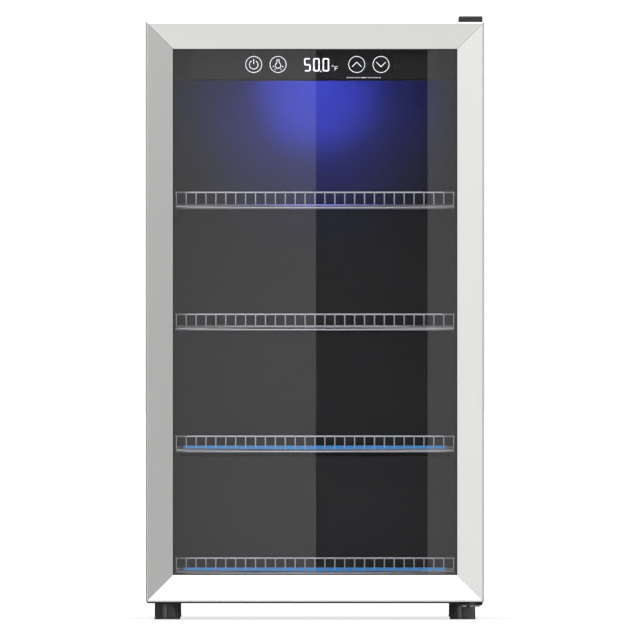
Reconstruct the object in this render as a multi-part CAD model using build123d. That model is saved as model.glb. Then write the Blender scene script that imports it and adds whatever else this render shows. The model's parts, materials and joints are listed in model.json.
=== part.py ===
from build123d import *
from math import atan2, cos, sin
import os

# Glass-door beverage cooler. Millimetres, +Z up, the door faces -Y, hinges on the +X side.
# The origin is on the floor, under the centre of the overall box.

# Door
door_width = 470.0
door_height = 806.2
door_thickness = 40.0
door_lift = 25.0          # floor to the door's lower edge
trim_width = 37.5         # face of each stainless member
trim_sheet = 0.8
trim_fall = 6.0           # how far the trim's face slopes back from its outer to its inner edge
trim_return = 16.0        # depth of the trim's side wall
trim_lip = 2.0            # depth of the trim's inner lip
trim_bend = 1.6           # bend at the door's edge
glass_sheet = 3.2
glass_gap = 12.8          # between the two panes
glass_overlap = 10.5      # pane edge hidden behind the trim
bead_show = 1.4           # glazing bead seen inside the trim's lip
bead_thickness = 1.3
core_gap = 0.3            # trim sheet to the core behind it
gasket_inset = 18.0       # door's edge to the gasket's outer edge
gasket_width = 13.0
gasket_gap = 0.4          # gasket to the cabinet's face
grip_length = 300.0
grip_depth = 17.0

# Cabinet
side_reveal = 1.0         # door's side to the cabinet's side
roof_drop = 1.6           # door's top edge down to the cabinet's roof
cabinet_depth = 374.5
door_gap = 8.0            # door's back to the cabinet's face
skin = 0.8                # steel sheet
base_sheet = 2.0
base_height = 22.6        # floor to the cabinet's underside
cabinet_width = door_width - 2 * side_reveal
cabinet_height = door_lift + door_height - roof_drop - base_height
side_wall = 34.0
floor_wall = 34.0
roof_wall = 34.0
back_wall = 37.0
corner_radius = 6.0       # bends of the outer wrap
liner_sheet = 1.5
liner_lip = 8.0
compartment_depth = 145.0
compartment_height = 172.4
step_wall = 30.0          # foam between the compressor compartment and the interior
condenser_depth = 22.5    # back panel to the rearmost wire

# Shelves
shelf_count = 4
shelf_pitch = 169.8
lowest_shelf = 66.7       # floor to the lowest shelf's main wire
shelf_side_gap = 5.0
shelf_front_gap = 9.5     # cabinet's face to the fence
shelf_back_gap = 6.0
fence_height = 18.6
fence_wire = 1.9          # wire diameters
rim_wire = 2.5
main_wire = 3.8
deck_wire = 2.0
cross_wire = 2.4
wire_count = 29
cross_count = 4
weld = 0.3                # how far welded wires sink into each other
strip_height = 5.4
strip_sheet = 2.0
strip_inset = 12.0
rib_height = 8.0
rib_reach = 10.0
rib_gap = 0.4             # rib to the wire that rests over it

# Hinges
hinge_inset = 16.0        # door's side to the hinge axis
hinge_setback = 23.6      # door's front to the hinge axis
hinge_sheet = 2.5
pin_diameter = 8.0
pin_reach = 12.0          # how far a pin goes into the door
running_gap = 0.05        # radial clearance of each pin and stud
bush_wall = 2.95
cap_side = 2.2            # door's side to the hinge cover
cap_width = 32.8
cap_height = 7.4
cap_wall = 1.6
cap_lift = 0.7            # door's top to the hinge plate
screw_diameter = 4.0
screw_length = 14.0

# Feet
foot_diameter = 36.0
foot_centre = 205.6       # from the middle plane
foot_setback = 44.5       # cabinet's face to the front feet
rear_foot_inset = 30.0
stud_diameter = 8.0
stud_length = 38.0
foot_gap = 0.4            # front foot to the base plate above it

# Controls
panel_height = 45.0
panel_depth = 75.0
panel_setback = 4.5       # cabinet's face to the fascia
panel_wall = 2.0
overlay_width = 344.0
overlay_sheet = 0.8
overlay_margin = 2.4

# Cooling system
compressor_radius = 60.0
compressor_body = 127.0
compressor_lift = 14.0    # base plate to the shell
compressor_x = 45.0
pipe_diameter = 6.0
capillary_diameter = 2.0
condenser_tube_diameter = 4.76
condenser_wire_diameter = 1.6
condenser_runs = 12
coil_roof_margin = 60.0   # cabinet's roof to the highest run
coil_bay_margin = 112.6   # compressor compartment's top to the lowest run
condenser_half_width = 188.0
condenser_wires_per_side = 25
evaporator_half_width = 170.0

# Places worked out from the sizes above
overall_depth = door_thickness + door_gap + cabinet_depth + condenser_depth
front_y = -overall_depth / 2
door_back_y = front_y + door_thickness
face_y = door_back_y + door_gap
back_y = face_y + cabinet_depth
rear_y = back_y + condenser_depth
door_half = door_width / 2
door_top = door_lift + door_height
cabinet_half = cabinet_width / 2
plate_top = base_height + base_sheet
roof_z = base_height + cabinet_height
inner_half = cabinet_half - side_wall
floor_z = base_height + floor_wall
ceiling_z = roof_z - roof_wall
inner_back_y = back_y - back_wall
bay_front_y = back_y - compartment_depth
bay_top_z = base_height + compartment_height
hump_front_y = bay_front_y - step_wall
hump_top_z = bay_top_z + step_wall
hinge_x = door_half - hinge_inset
hinge_y = front_y + hinge_setback
pin_radius = pin_diameter / 2
bore_radius = pin_radius + running_gap
pane_front = trim_fall + trim_lip + bead_thickness + 0.1   # depths from the door's front
pane_back = pane_front + 2 * glass_sheet + glass_gap
pane_inset = trim_width - glass_overlap

os.makedirs("parts", exist_ok=True)


def save(name, *solids):
    """One node: a single solid, or a group of separate ones."""
    shape = solids[0] if len(solids) == 1 else Compound(children=list(solids))
    shape.label = name
    export_step(shape, f"parts/{name}.step")


def block(x, y, z):
    """Box from its low and high limit on each axis."""
    size = (x[1] - x[0], y[1] - y[0], z[1] - z[0])
    return Pos(x[0], y[0], z[0]) * Box(*size, align=(Align.MIN, Align.MIN, Align.MIN))


def rod(start, end, radius):
    """Round bar between two points."""
    run = Vector(*end) - Vector(*start)
    place = Plane(origin=start, z_dir=run)
    return place * Cylinder(radius, run.length, align=(Align.CENTER, Align.CENTER, Align.MIN))


def sleeve(start, end, outer, inner):
    """Tube between two points."""
    return rod(start, end, outer) - rod(start, end, inner)


def fused(solids):
    """Solids welded into one."""
    return solids[0].fuse(*solids[1:]).solid()


def turned(outline, x, y):
    """Solid of revolution about a vertical axis; the outline is (radius, height) points."""
    section = make_face(Polyline(*[(r, 0, z) for r, z in outline], close=True))
    return Pos(x, y, 0) * revolve(section, Axis.Z)


def pipe(points, radii, diameter):
    """Round pipe along straight runs joined by arcs."""
    path = FilletPolyline(*points, radius=radii)
    return sweep(Plane(path @ 0, z_dir=path % 0) * Circle(diameter / 2), path=path).solid()


def screw(x, y, z, down):
    """Pan-head screw whose head sits at height z and whose shank goes down, or up."""
    way = -1 if down else 1
    head = rod((x, y, z), (x, y, z - way * 2.4), screw_diameter * 0.95)
    shank = rod((x, y, z), (x, y, z + way * screw_length), screw_diameter / 2)
    slot = block((x - 3, x + 3), (y - 0.5, y + 0.5), sorted((z - way * 1.4, z - way * 3.0)))
    return fused([head, shank]) - slot


# Door: everything below is drawn in the plane of one edge, with u inward from the edge,
# v back from the door's front and w along the edge.
corner_low = (-door_half, front_y, door_lift)
corner_high = (door_half, front_y, door_top)
edges = {
    "left": (Plane(corner_low, x_dir=(1, 0, 0), z_dir=(0, 0, 1)), door_height),
    "right": (Plane(corner_high, x_dir=(-1, 0, 0), z_dir=(0, 0, -1)), door_height),
    "top": (Plane((-door_half, front_y, door_top), x_dir=(0, 0, -1), z_dir=(1, 0, 0)), door_width),
    "bottom": (Plane((door_half, front_y, door_lift), x_dir=(0, 0, 1), z_dir=(-1, 0, 0)), door_width),
}


def slope(u):
    """Depth of the trim's face at a distance from the door's edge."""
    return trim_fall * u / trim_width


def trim_member(length):
    """Folded stainless channel with a sloping face, mitred at both ends."""
    mid = trim_sheet / 2
    tilt = atan2(trim_fall, trim_width)
    rise = trim_bend * ((1 + sin(tilt)) / cos(tilt) - 1)
    outer = (mid, mid - rise)
    inner = (trim_width - mid, slope(trim_width) + mid - rise)
    lip = (trim_width - mid, slope(trim_width) + trim_lip - mid)
    spine = FilletPolyline((mid, trim_return - mid), outer, inner, lip, radius=(trim_bend, 0.9))
    bar = extrude(make_face(offset(spine, mid, side=Side.BOTH).edges()), length)
    reach = trim_width + 1
    outline = [(0, 0), (0, length), (reach, length - reach), (reach, reach)]
    wedge = extrude(Plane.XZ * make_face(Polyline(*outline, close=True)), -door_thickness)
    return (bar & wedge).solid()


for name, pair in (("trim_stiles", ("left", "right")), ("trim_rails", ("top", "bottom"))):
    save(name, *[edges[side][0] * trim_member(edges[side][1]) for side in pair])

clear = trim_sheet + core_gap
rebate = pane_inset - 0.5
core_outline = [
    (clear, slope(clear) + clear),
    (rebate, slope(rebate) + clear),
    (rebate, pane_back),
    (trim_width, pane_back),
    (trim_width, door_thickness),
    (0, door_thickness),
    (0, trim_return + core_gap),
    (clear, trim_return + core_gap),
]


def door_ring(inset, width, depth):
    """Rectangular ring parallel to the door's edge, between two depths from the door's front."""
    y = (front_y + depth[0], front_y + depth[1])
    out = inset
    inn = inset + width
    outer = block((-door_half + out, door_half - out), y, (door_lift + out, door_top - out))
    inner = block((-door_half + inn, door_half - inn), y, (door_lift + inn, door_top - inn))
    return outer - inner


groove = door_ring(gasket_inset + 4.0, 3.2, (door_thickness - 4.0, door_thickness))
bush_outer = bore_radius + bush_wall
bush_depth = pin_reach + 1.5
sockets = [
    rod((hinge_x, hinge_y, door_top - bush_depth - 1), (hinge_x, hinge_y, door_top), bush_outer),
    rod((hinge_x, hinge_y, door_lift), (hinge_x, hinge_y, door_lift + bush_depth + 1), bush_outer),
]
grip_z = (door_lift + door_top) / 2
grip_y = (front_y + trim_return + 1.0, door_back_y - 4.0)
grip = block(
    (-door_half - 1, -door_half + grip_depth), grip_y, (grip_z - grip_length / 2, grip_z + grip_length / 2)
)
grip = fillet(grip.edges().filter_by(Axis.Y).group_by(Axis.X)[-1], 12.0)
core_profile = make_face(Polyline(*core_outline, close=True))
end_cover = block(
    (-door_half, door_half), (front_y, front_y + trim_return + core_gap), (door_lift, door_lift + clear)
)
for side in ("left", "right"):
    place, length = edges[side]
    stile = place * extrude(core_profile, length)
    stile -= end_cover
    stile -= Pos(0, 0, door_height - clear) * end_cover
    stile -= groove
    if side == "left":
        stile -= grip
    else:
        for socket in sockets:
            stile -= socket
    save(f"frame_{side}", stile.solid())
rails = []
for side in ("top", "bottom"):
    place, length = edges[side]
    front_reach = door_half - rebate
    back_reach = door_half - trim_width
    band = (door_lift, door_top)
    front_part = block((-front_reach, front_reach), (front_y, front_y + pane_back), band)
    back_part = block((-back_reach, back_reach), (front_y + pane_back, door_back_y), band)
    rail = place * extrude(core_profile, length) & (front_part + back_part)
    rails.append((rail - groove).solid())
save("frame_rails", *rails)

pane_x = (-door_half + pane_inset, door_half - pane_inset)
pane_z = (door_lift + pane_inset, door_top - pane_inset)
pane_y = front_y + pane_front
back_pane_y = pane_y + glass_sheet + glass_gap
save("front_glass", block(pane_x, (pane_y, pane_y + glass_sheet), pane_z))
save("rear_glass", block(pane_x, (back_pane_y, back_pane_y + glass_sheet), pane_z))
spacer_depth = (pane_front + glass_sheet, pane_front + glass_sheet + glass_gap)
save("glass_spacer", door_ring(pane_inset + 1.0, 8.0, spacer_depth))
bead_width = glass_overlap - 1.0 + bead_show
save("glazing_bead", door_ring(pane_inset + 1.0, bead_width, (pane_front - bead_thickness, pane_front)))

# The gasket: a dart pushed into the frame's groove, bellows, and a pocket for the magnets
seal_end = door_thickness + door_gap - gasket_gap
dart = door_ring(gasket_inset + 4.2, 2.8, (door_thickness - 3.5, door_thickness))
seal = door_ring(gasket_inset, gasket_width, (door_thickness, seal_end))
chamber_inset = gasket_inset + 2.0
chamber_width = gasket_width - 4.0
bellows = door_ring(chamber_inset, chamber_width, (door_thickness + 1.0, door_thickness + 3.4))
magnet_depth = (door_thickness + 4.2, seal_end - 0.6)
magnets = door_ring(chamber_inset, chamber_width, magnet_depth)
save("door_gasket", (seal + dart - bellows - magnets).solid())
save("gasket_magnets", magnets)

# Hinges
high_z = door_top + cap_lift
low_bush = sleeve(
    (hinge_x, hinge_y, door_lift), (hinge_x, hinge_y, door_lift + bush_depth), bush_outer, bore_radius
)
thrust_collar = sleeve(
    (hinge_x, hinge_y, base_height + 0.3), (hinge_x, hinge_y, door_lift), bore_radius + 0.9, bore_radius
)
high_bush = sleeve(
    (hinge_x, hinge_y, door_top - bush_depth), (hinge_x, hinge_y, door_top), bush_outer, bore_radius
)
save("door_bushes", fused([low_bush, thrust_collar]), high_bush)

cap_x = (door_half - cap_side - cap_width, door_half - cap_side)
plate_x = (cap_x[0] + 3.0, cap_x[1] - 3.0)
plate_back_y = face_y + 60.0
joggle = [
    (hinge_y - 12.0, high_z),
    (hinge_y - 12.0, high_z + hinge_sheet),
    (face_y + 6.5, high_z + hinge_sheet),
    (face_y + 10.5, roof_z + hinge_sheet),
    (plate_back_y, roof_z + hinge_sheet),
    (plate_back_y, roof_z),
    (face_y + 9.3, roof_z),
    (face_y + 5.3, high_z),
]
side_view = make_face(Polyline(*[(plate_x[0], y, z) for y, z in joggle], close=True))
top_plate = extrude(side_view, plate_x[1] - plate_x[0], dir=(1, 0, 0))
screw_radius = screw_diameter / 2
top_screws = [(hinge_x - 8.0, face_y + 25.0), (hinge_x + 6.0, face_y + 25.0), (hinge_x - 1.0, face_y + 46.0)]
low_screws = [(hinge_x - 11.0, face_y + 8.5), (hinge_x + 7.0, face_y + 8.5), (hinge_x + 7.0, face_y + 18.5)]
top_plate -= rod((hinge_x, hinge_y, door_top), (hinge_x, hinge_y, high_z + 10), pin_radius)
for x, y in top_screws:
    top_plate -= rod((x, y, roof_z - 1), (x, y, roof_z + 5), screw_radius)
save("top_hinge_plate", top_plate.solid())

low_plate_z = base_height - hinge_sheet
low_plate = block(cap_x, (hinge_y - 13.5, face_y + 24.5), (low_plate_z, base_height))
low_plate = fillet(low_plate.edges().filter_by(Axis.Z), 4.0)
low_plate -= rod((hinge_x, hinge_y, 0), (hinge_x, hinge_y, door_lift), pin_radius)
for x, y in low_screws:
    low_plate -= rod((x, y, 0), (x, y, base_height + 1), screw_radius)
save("bottom_hinge_plate", low_plate.solid())


def hinge_pin(head, shoulder, tip):
    """Riveted pin: a head, a shank from the plate's far face, and a chamfered tip."""
    way = 1 if tip > head else -1
    head_radius = pin_radius + 1.5
    outline = [(0, head), (head_radius, head), (head_radius, shoulder), (pin_radius, shoulder)]
    outline += [(pin_radius, tip - way), (pin_radius - 1, tip), (0, tip)]
    return turned(outline, hinge_x, hinge_y)


pin_head = 1.5
high_shoulder = high_z + hinge_sheet
save(
    "hinge_pins",
    hinge_pin(high_shoulder + pin_head, high_shoulder, door_top - pin_reach),
    hinge_pin(low_plate_z - pin_head, low_plate_z, door_lift + pin_reach),
)
save(
    "hinge_screws",
    *[screw(x, y, roof_z + hinge_sheet, down=True) for x, y in top_screws],
    *[screw(x, y, low_plate_z, down=False) for x, y in low_screws],
)

cap_y = (hinge_y - 17.0, plate_back_y + 5.0)
cap_top = high_z + cap_height
cap = block(cap_x, cap_y, (high_z, cap_top))
cap += block(cap_x, (face_y + 2.5, cap_y[1]), (roof_z, high_z))
cap = fillet(cap.edges().group_by(Axis.Z)[-1], cap_wall)
hollow_x = (cap_x[0] + cap_wall, cap_x[1] - cap_wall)
hollow_y = (cap_y[0] + cap_wall, cap_y[1] - cap_wall)
save("top_hinge_cover", (cap - block(hollow_x, hollow_y, (roof_z - 1, cap_top - cap_wall))).solid())

plug_spots = [(-x, y) for x, y in top_screws]
plug_stem = 1.8
plug_length = 6.0
plug_outline = [(0, -plug_length), (plug_stem, -plug_length), (plug_stem, 0), (5.0, 0), (4.4, 1.2), (0, 1.2)]
plug_outline = [(r, roof_z + z) for r, z in plug_outline]
save("hinge_hole_plugs", *[turned(plug_outline, x, y) for x, y in plug_spots])

# Base plate and feet
front_feet = [(-foot_centre, face_y + foot_setback), (foot_centre, face_y + foot_setback)]
back_feet = [(x, back_y - rear_foot_inset) for x, _ in front_feet]
stud_radius = stud_diameter / 2
stud_bore = stud_radius + running_gap
nut_top = plate_top + 8.0
compressor_y = (bay_front_y + back_y) / 2
mounts = [(compressor_x + i * 75.0, compressor_y + j * 45.0) for i in (-1, 1) for j in (-1, 1)]
mount_bolt_radius = 3.0
base = block((-cabinet_half, cabinet_half), (face_y, back_y), (base_height, plate_top))
base += block((2 - cabinet_half, cabinet_half - 2), (back_y - base_sheet, back_y), (plate_top, plate_top + 19))
for x, y in front_feet:
    base += rod((x, y, plate_top), (x, y, nut_top), stud_radius + 5.0)
    base -= rod((x, y, 0), (x, y, nut_top), stud_bore)
for x, y in mounts:
    base -= rod((x, y, 0), (x, y, plate_top), mount_bolt_radius)
for x, y in low_screws:
    base -= rod((x, y, 0), (x, y, plate_top), screw_radius)
gland_x, gland_z = -60.0, plate_top + 9.5
base -= rod((gland_x, back_y - base_sheet, gland_z), (gland_x, back_y, gland_z), 6.0)
save("base_plate", base.solid())

stud_low = 4.0
foot_radius = foot_diameter / 2
sole = [(0, 0), (foot_radius - 1.5, 0), (foot_radius, 1.5), (foot_radius, 4.5), (foot_radius - 0.6, 5.1)]
pad_top = base_height - foot_gap
for side, (x, y) in zip(("left", "right"), front_feet):
    stud = rod((x, y, stud_low), (x, y, stud_low + stud_length), stud_radius)
    save(f"foot_stud_{side}", chamfer(stud.edges().group_by(Axis.Z)[-1], 0.8))
    neck = [(foot_radius - 0.6, pad_top - 1.2), (foot_radius - 1.8, pad_top), (stud_bore, pad_top)]
    blind_end = [(stud_bore, stud_low - 0.3), (0, stud_low - 0.3)]
    save(f"foot_pad_{side}", turned(sole + neck + blind_end, x, y))
rear_top = [(foot_radius - 0.6, base_height), (0, base_height)]
save("rear_feet", *[turned(sole + rear_top, x, y) for x, y in back_feet])

# Cabinet: steel wrap, liner, foam between them
opening_x = (-inner_half - liner_lip, inner_half + liner_lip)
opening_z = (floor_z - liner_lip, ceiling_z + liner_lip)


def arched(x, y, z, radius):
    """Box with its two upper long edges rounded, like the bends of the wrap."""
    shape = block(x, y, z)
    return fillet(shape.edges().filter_by(Axis.Y).group_by(Axis.Z)[-1], radius)


skin_x = (-cabinet_half + skin, cabinet_half - skin)
wrap = arched((-cabinet_half, cabinet_half), (face_y, back_y), (plate_top, roof_z), corner_radius)
wrap -= arched(skin_x, (face_y + skin, back_y + 1), (plate_top - 1, roof_z - skin), corner_radius - skin)
wrap -= block(opening_x, (face_y - 1, face_y + skin + 1), opening_z)
roof_bores = [rod((x, y, roof_z - screw_length), (x, y, roof_z + 1), screw_radius) for x, y in top_screws]
roof_bores += [rod((x, y, roof_z - plug_length), (x, y, roof_z + 1), plug_stem) for x, y in plug_spots]
for bore in roof_bores:
    wrap -= bore
save("outer_wrap", wrap.solid())


def room(grow):
    """The interior, with its step over the compressor, grown outward by a wall."""
    x = (-inner_half - grow, inner_half + grow)
    whole = block(x, (face_y, inner_back_y + grow), (floor_z - grow, ceiling_z + grow))
    return whole - block(x, (hump_front_y + grow, inner_back_y + grow), (floor_z - grow, hump_top_z - grow))


drain_x, drain_y = 0.0, back_y - 60.0
drain_radius = 6.0
drain_bore = rod((drain_x, drain_y, bay_top_z - 1), (drain_x, drain_y, hump_top_z), drain_radius)
shelf_levels = [lowest_shelf + n * shelf_pitch for n in range(shelf_count)]
deck_drop = 0.8                    # main wire's centre to the deck wires' centre
cross_drop = deck_drop + (deck_wire + cross_wire) / 2 - weld
rib_drop = cross_drop + cross_wire / 2 + rib_gap
liner_block = room(liner_sheet) + block(opening_x, (face_y, face_y + liner_sheet), opening_z)
liner = liner_block - room(0)
for n, level in enumerate(shelf_levels):
    rib_back_y = (hump_front_y if n == 0 else inner_back_y) - 12.0
    rib_z = (max(level - rib_drop - rib_height, floor_z), level - rib_drop)
    for low, high in ((-inner_half, -inner_half + rib_reach), (inner_half - rib_reach, inner_half)):
        liner += block((low, high), (face_y + shelf_front_gap + 8.0, rib_back_y), rib_z)
liner -= drain_bore
save("inner_liner", liner.solid())

# Evaporator plate and its tube lie in the foam behind the liner
cold_y = inner_back_y + liner_sheet
cold_z = (hump_top_z + 35.0, ceiling_z - 55.0)
pipe_radius = pipe_diameter / 2
cold_plate = block((-evaporator_half_width, evaporator_half_width), (cold_y, cold_y + 1), cold_z)
cold_tube_y = cold_y + 1 + pipe_radius
cold_runs = 9
cold_step = (cold_z[1] - cold_z[0] - 40.0) / (cold_runs - 1)
cold_reach = evaporator_half_width - 20.0


def serpentine(reach, y, top, step, runs):
    """Corners of a tube that goes to and fro, downwards."""
    points = []
    for n in range(runs):
        ends = (-reach, reach) if n % 2 == 0 else (reach, -reach)
        points += [(x, y, top - n * step) for x in ends]
    return points


cold_path = serpentine(cold_reach, cold_tube_y, cold_z[1] - 20.0, cold_step, cold_runs)
suction_x = cold_path[-1][0]
suction_top = cold_z[0] - 2.0
cold_path.append((suction_x, cold_tube_y, suction_top))
cold_bend = min(0.48 * cold_step, 0.9 * (cold_path[-2][2] - suction_top))
cold_tube = pipe(cold_path, cold_bend, pipe_diameter)
save("evaporator", cold_plate, cold_tube)
capillary_x = -cold_reach - 10.0

bay = block(skin_x, (bay_front_y - skin, back_y), (plate_top, bay_top_z + skin))
foam = arched(skin_x, (face_y + skin, back_y - skin), (plate_top, roof_z - skin), corner_radius - skin)
foam -= liner_block
foam -= room(0)
foam -= bay
foam -= block(
    (-evaporator_half_width - 4, evaporator_half_width + 4),
    (cold_y, cold_tube_y + pipe_radius + 1),
    (suction_top, cold_z[1] + 4),
)
foam -= rod((suction_x, cold_tube_y, bay_top_z), (suction_x, cold_tube_y, suction_top), pipe_radius)
foam -= rod((capillary_x, cold_tube_y, bay_top_z), (capillary_x, cold_tube_y, suction_top), capillary_diameter / 2)
foam -= drain_bore
for bore in roof_bores:
    foam -= bore
for x, y in front_feet:
    foam -= rod((x, y, plate_top), (x, y, stud_low + stud_length + 4), stud_radius + 6.0)
for x, y in low_screws:
    foam -= rod((x, y, plate_top), (x, y, low_plate_z + screw_length), screw_radius)

coil_radius = condenser_tube_diameter / 2
wire_radius = condenser_wire_diameter / 2
coil_y = rear_y - condenser_wire_diameter - coil_radius
coil_top = roof_z - coil_roof_margin
coil_step = (coil_top - bay_top_z - coil_bay_margin) / (condenser_runs - 1)
coil_bend = 0.48 * coil_step
wire_span = condenser_half_width - coil_bend - 14.0
bracket_x = wire_span + 7.0
bracket_runs = (1, condenser_runs // 2, condenser_runs - 2)
bracket_tabs = [(i * bracket_x, coil_top - n * coil_step) for i in (-1, 1) for n in bracket_runs]
bracket_spots = [(x, z + 12.0) for x, z in bracket_tabs]
rear_spots = [(i * (cabinet_half - 12.0), z) for i in (-1, 1) for z in (bay_top_z + 40, 420.0, 620.0, roof_z - 25)]
rear_bores = [rod((x, back_y - screw_length, z), (x, back_y, z), screw_radius) for x, z in rear_spots]
rear_bores += [rod((x, back_y - screw_length, z), (x, back_y, z), screw_radius) for x, z in bracket_spots]
panel = block(skin_x, (back_y - skin, back_y), (bay_top_z, roof_z - skin))
panel = fillet(panel.edges().filter_by(Axis.Y).group_by(Axis.Z)[-1], corner_radius - skin)
panel += block(skin_x, (bay_front_y - skin, back_y), (bay_top_z, bay_top_z + skin))
panel += block(skin_x, (bay_front_y - skin, bay_front_y), (plate_top, bay_top_z + skin))
for x in (suction_x, capillary_x):
    panel -= rod((x, cold_tube_y, bay_top_z - 1), (x, cold_tube_y, bay_top_z + 2), pipe_radius)
panel -= drain_bore
for bore in rear_bores:
    foam -= bore
    panel -= bore
save("insulation", foam.solid())
save("back_panel", panel.solid())


def rear_screw(x, z, seat):
    """Pan-head screw driven forward into the back of the cabinet."""
    head = rod((x, seat, z), (x, seat + 2.2, z), screw_radius * 1.9)
    shank = rod((x, back_y - screw_length, z), (x, seat, z), screw_radius)
    cross = block((x - 2.6, x + 2.6), (seat + 1.2, seat + 3), (z - 0.5, z + 0.5))
    return fused([head, shank]) - cross


# Condenser on the back: a tube to and fro with upright wires welded to both its sides
coil_low = coil_top - (condenser_runs - 1) * coil_step
feed_x = -condenser_half_width - 16.0
coil_path = [(feed_x, coil_y, bay_top_z - 20), (feed_x, coil_y, coil_top)]
coil_path += serpentine(condenser_half_width, coil_y, coil_top, coil_step, condenser_runs)[1:]
coil_path.append((coil_path[-1][0], coil_y, bay_top_z - 20))
save("condenser_tube", pipe(coil_path, coil_bend, condenser_tube_diameter))
wires = []
for n in range(condenser_wires_per_side):
    x = -wire_span + 2 * wire_span * n / (condenser_wires_per_side - 1)
    for y in (coil_y - coil_radius - wire_radius, coil_y + coil_radius + wire_radius):
        wires.append(rod((x, y, coil_low - 8), (x, y, coil_top + 8), wire_radius))
save("condenser_wires", *wires)

bracket_sheet = 1.5
brackets = []
for (x, z), (_, screw_z) in zip(bracket_tabs, bracket_spots):
    foot = block((x - 8, x + 8), (back_y, back_y + bracket_sheet), (z - 4, screw_z + 8))
    foot -= rod((x, back_y - 1, screw_z), (x, back_y + 3, screw_z), screw_radius)
    half = bracket_sheet / 2
    tab = block((x - 5, x + 5), (back_y, coil_y - coil_radius), (z - half, z + half))
    brackets.append((foot + tab).solid())
save("condenser_brackets", *brackets)
save(
    "rear_screws",
    *[rear_screw(x, z, back_y) for x, z in rear_spots],
    *[rear_screw(x, z, back_y + bracket_sheet) for x, z in bracket_spots],
)

# Compressor, on rubber mounts
shell_z = plate_top + compressor_lift
compressor_top = shell_z + compressor_body
centre = (compressor_x, compressor_y)
shell = rod((*centre, shell_z), (*centre, compressor_top), compressor_radius)
shell = fillet(shell.edges().group_by(Axis.Z)[-1], 30.0)
shell = fillet(shell.edges().group_by(Axis.Z)[0], 16.0)
seam_z = shell_z + 0.55 * compressor_body
saddle_x = (compressor_x - 88.0, compressor_x + 88.0)
saddle_y = (compressor_y - 57.0, compressor_y + 57.0)
saddle = block(saddle_x, saddle_y, (shell_z, shell_z + 3.0))
saddle = fillet(saddle.edges().filter_by(Axis.Z), 12.0)
seam = rod((*centre, seam_z), (*centre, seam_z + 5.0), compressor_radius + 3.0)
compressor = fused([shell, seam, saddle])
neck_radius = 5.5
for x, y in mounts:
    compressor -= rod((x, y, shell_z - 1), (x, y, shell_z + 4), neck_radius)
save("compressor", compressor.solid())
saddle_top = shell_z + 3.0
mount_top = saddle_top + 4.0
mount_outline = [
    (4.2, plate_top), (10.0, plate_top), (8.5, plate_top + 6), (10.0, shell_z), (neck_radius, shell_z),
    (neck_radius, saddle_top), (8.5, saddle_top), (8.5, mount_top), (4.2, mount_top),
]
save("compressor_mounts", *[turned(mount_outline, x, y) for x, y in mounts])
bolts = []
for x, y in mounts:
    head = rod((x, y, base_height - 2), (x, y, base_height), mount_bolt_radius + 2.5)
    shank = rod((x, y, base_height - 2), (x, y, mount_top + 7), mount_bolt_radius)
    nut = Pos(x, y, mount_top) * extrude(RegularPolygon(6.0, 6), 4.5)
    bolts.append(fused([head, shank, nut]))
save("compressor_bolts", *bolts)

relay = block(
    (compressor_x + 52.0, compressor_x + 86.0),
    (compressor_y - 24.0, compressor_y + 24.0),
    (shell_z + 24.0, seam_z - 4.0),
)
relay = fillet(relay.edges().filter_by(Axis.X), 6.0)
save("relay_cover", (relay - compressor).solid())

tray_x = (drain_x - 30.0, compressor_x + 70.0)
tray_y = (compressor_y - 50.0, compressor_y + 57.0)
tray_z = (compressor_top, compressor_top + 18.0)
tray = fillet(block(tray_x, tray_y, tray_z).edges().filter_by(Axis.Z), 12.0)
well = block(
    (tray_x[0] + 1.6, tray_x[1] - 1.6), (tray_y[0] + 1.6, tray_y[1] - 1.6), (tray_z[0] + 1.6, tray_z[1] + 1)
)
save("drip_tray", (tray - fillet(well.edges().filter_by(Axis.Z), 10.4)).solid())
drain_low = compressor_top + 12.0
save(
    "drain_tube",
    sleeve((drain_x, drain_y, drain_low), (drain_x, drain_y, hump_top_z), drain_radius, drain_radius - 1.5),
)

# Pipes in the compressor compartment
pipe_y = compressor_y + 22.5
coil_end = bay_top_z - 20.0
discharge_z = shell_z + 80.0
discharge_path = [
    (feed_x, coil_y, coil_end), (feed_x, coil_y, discharge_z), (feed_x, pipe_y, discharge_z),
    (compressor_x - 40.0, pipe_y, discharge_z),
]
discharge = pipe(discharge_path, 18.0, condenser_tube_diameter)
drier_x, drier_y = feed_x + 90.0, pipe_y - 24.0
drier_z = (plate_top + 45.0, plate_top + 135.0)
drier_outline = [
    (0, drier_z[0]), (3.2, drier_z[0]), (3.2, drier_z[0] + 6), (9.0, drier_z[0] + 14),
    (9.0, drier_z[1] - 14), (3.2, drier_z[1] - 6), (3.2, drier_z[1]), (0, drier_z[1]),
]
outlet_x = coil_path[-1][0]
liquid_low = drier_z[0] - 22.0
liquid_path = [
    (outlet_x, coil_y, coil_end), (outlet_x, coil_y, liquid_low), (outlet_x, drier_y, liquid_low),
    (drier_x, drier_y, liquid_low), (drier_x, drier_y, drier_z[0]),
]
save("filter_drier", turned(drier_outline, drier_x, drier_y))
liquid = pipe(liquid_path, 14.0, condenser_tube_diameter)
save("condenser_pipes", (discharge - compressor).solid(), liquid)
capillary_path = [
    (drier_x, drier_y, drier_z[1]), (drier_x, drier_y, bay_top_z - 16), (capillary_x, drier_y, bay_top_z - 16),
    (capillary_x, cold_tube_y, bay_top_z - 16), (capillary_x, cold_tube_y, cold_z[1] - 20),
    (capillary_x + 10 - pipe_radius, cold_tube_y, cold_z[1] - 20),
]
capillary = pipe(capillary_path, (8, 6, 6, 4), capillary_diameter)
suction_z = shell_z + 95.0
suction_path = [
    (suction_x, cold_tube_y, suction_top), (suction_x, cold_tube_y, suction_z),
    (suction_x, pipe_y - 10, suction_z), (compressor_x + 30.0, pipe_y - 10, suction_z),
]
suction = (pipe(suction_path, 12.0, pipe_diameter) - compressor).solid()
save("evaporator_pipes", suction, capillary)

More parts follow.
